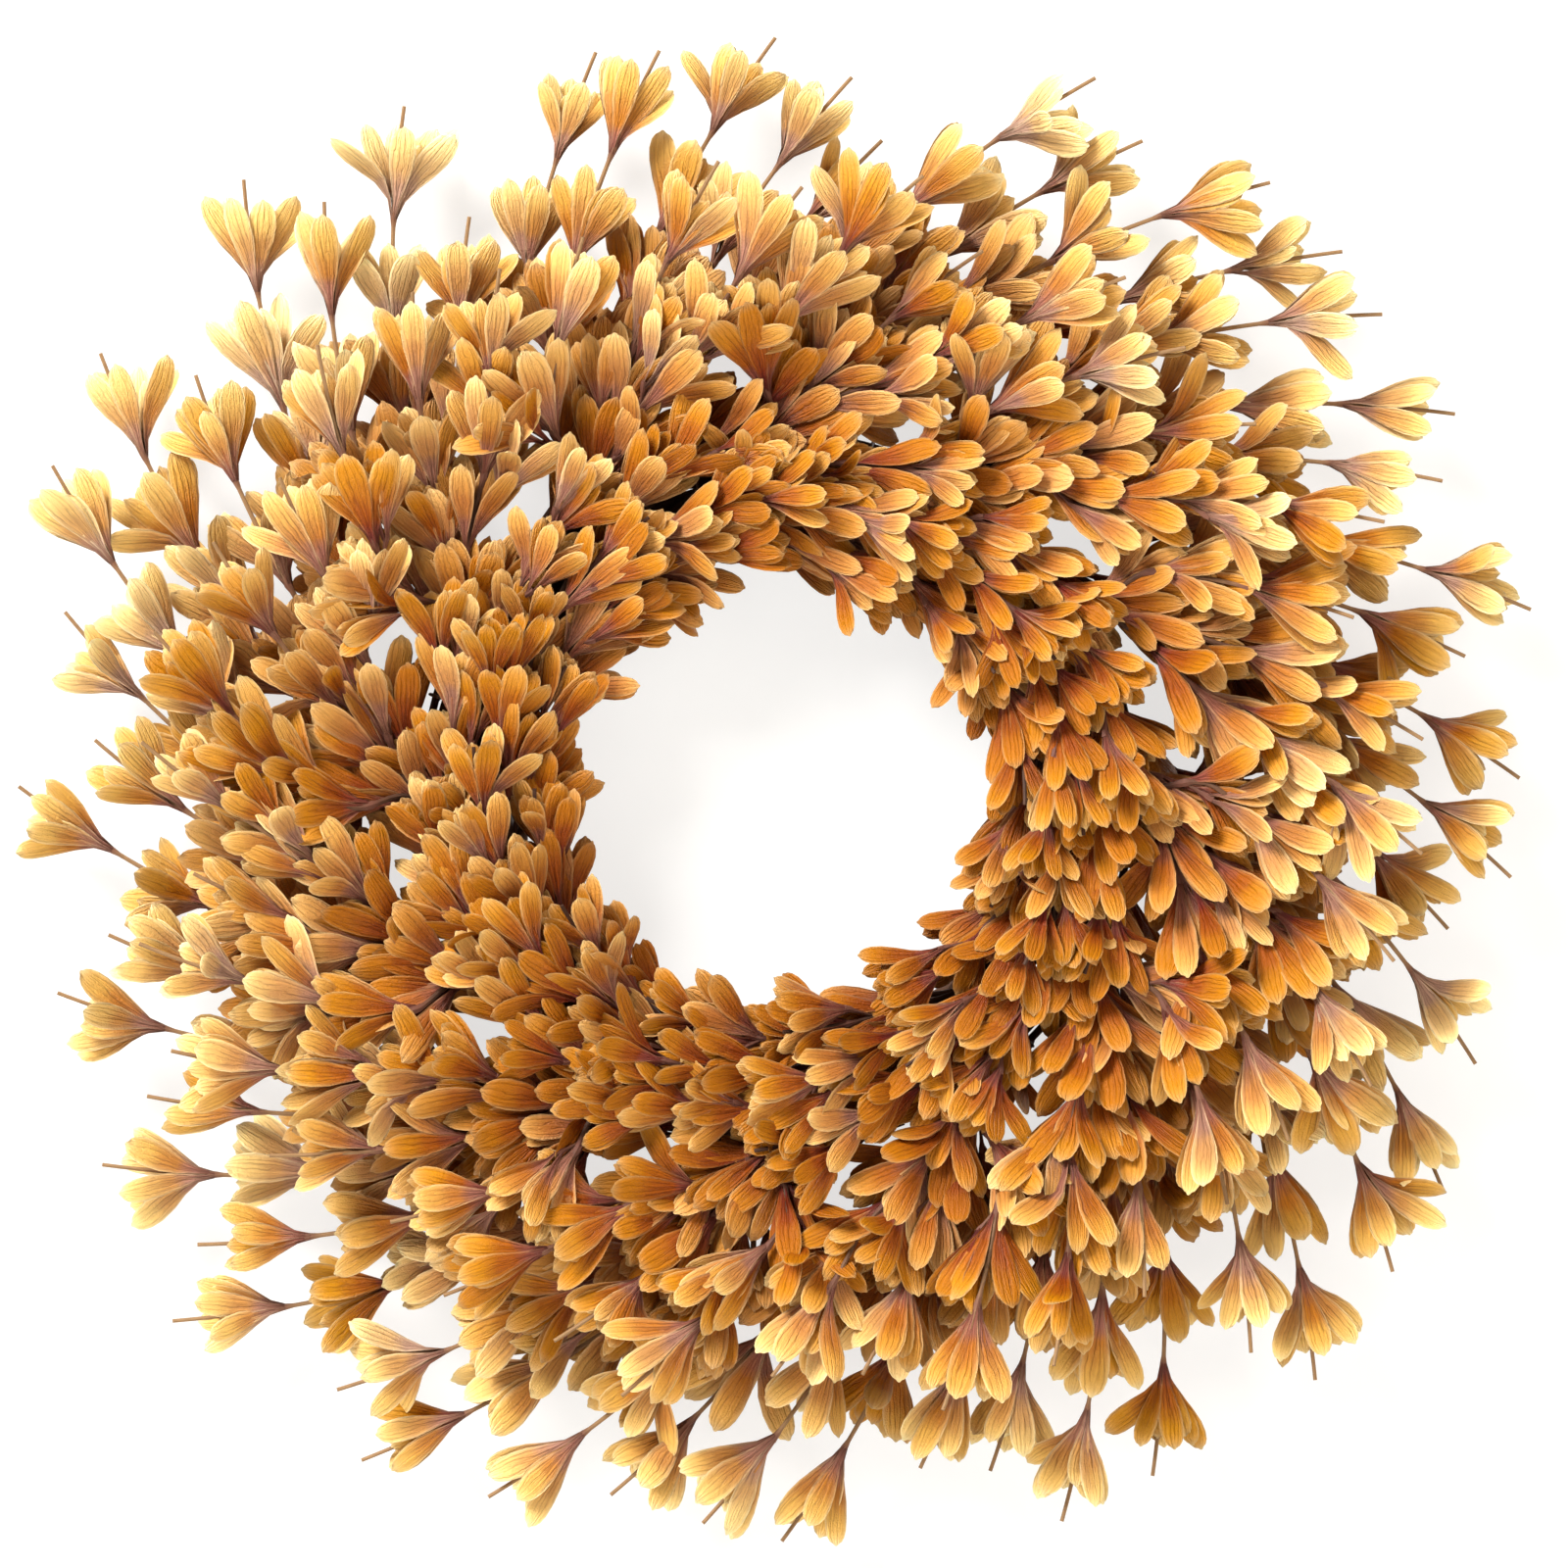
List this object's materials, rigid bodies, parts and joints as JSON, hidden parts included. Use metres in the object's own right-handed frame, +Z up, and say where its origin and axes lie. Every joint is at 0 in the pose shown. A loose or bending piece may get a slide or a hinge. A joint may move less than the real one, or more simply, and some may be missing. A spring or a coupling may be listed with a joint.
{
  "type": "harvest door wreath",
  "caption": "Round door wreath: branched picks of golden funnel-shaped florets tied in a clockwise sweep to a ring of wound vines, with a wire hanging loop behind.",
  "frame": {"origin": "where the nail bears, under the top of the hanging loop's bail; the wreath hangs below it", "axes": "+Z up, the wreath hangs in the XZ plane and its front faces -Y, +Y points at the door"},
  "size_m": [0.5638, 0.0933, 0.5608],
  "materials": {
    "vine_bark": "rough peeling bark, nearly black-brown",
    "petal_gold": "matt, golden yellow with mauve-brown veins at the base",
    "petal_amber": "matt, deeper amber with mauve-brown veins at the base",
    "tie_wire": "brown lacquer, satin",
    "loop_wire": "dull annealed wire"
  },
  "bodies": {
    "wreath": {"vine_core": "vine_bark", "vine_1": "vine_bark", "vine_2": "vine_bark", "vine_3": "vine_bark", "vine_4": "vine_bark", "vine_5": "vine_bark", "outer_pick_01": "petal_gold", "outer_pick_02": "petal_gold", "outer_pick_03": "petal_gold", "outer_pick_04": "petal_gold", "outer_pick_05": "petal_gold", "outer_pick_06": "petal_gold", "outer_pick_07": "petal_gold", "outer_pick_08": "petal_gold", "outer_pick_09": "petal_gold", "outer_pick_10": "petal_gold", "outer_pick_11": "petal_gold", "outer_pick_12": "petal_gold", "front_pick_01": "petal_gold", "front_pick_02": "petal_gold", "front_pick_03": "petal_gold", "front_pick_04": "petal_gold", "front_pick_05": "petal_gold", "front_pick_06": "petal_gold", "front_pick_07": "petal_gold", "front_pick_08": "petal_gold", "front_pick_09": "petal_gold", "front_pick_10": "petal_gold", "front_pick_11": "petal_gold", "front_pick_12": "petal_gold", "inner_pick_01": "petal_amber", "inner_pick_02": "petal_amber", "inner_pick_03": "petal_amber", "inner_pick_04": "petal_amber", "inner_pick_05": "petal_amber", "inner_pick_06": "petal_amber", "inner_pick_07": "petal_amber", "inner_pick_08": "petal_amber", "inner_pick_09": "petal_amber", "inner_pick_10": "petal_amber", "inner_pick_11": "petal_amber", "inner_pick_12": "petal_amber", "tie_wire_01": "tie_wire", "tie_wire_02": "tie_wire", "tie_wire_03": "tie_wire", "tie_wire_04": "tie_wire", "tie_wire_05": "tie_wire", "tie_wire_06": "tie_wire", "tie_wire_07": "tie_wire", "tie_wire_08": "tie_wire", "tie_wire_09": "tie_wire", "tie_wire_10": "tie_wire", "tie_wire_11": "tie_wire", "tie_wire_12": "tie_wire"},
    "loop": {"hanging_loop": "loop_wire"}
  },
  "joints": [
    {"name": "loop_swing", "type": "hinge", "parent": "wreath", "child": "loop", "pos_m": [0, -0.00711, -0.045], "axis": [-1, 0, 0], "range_deg": [0, 140]}
  ]
}
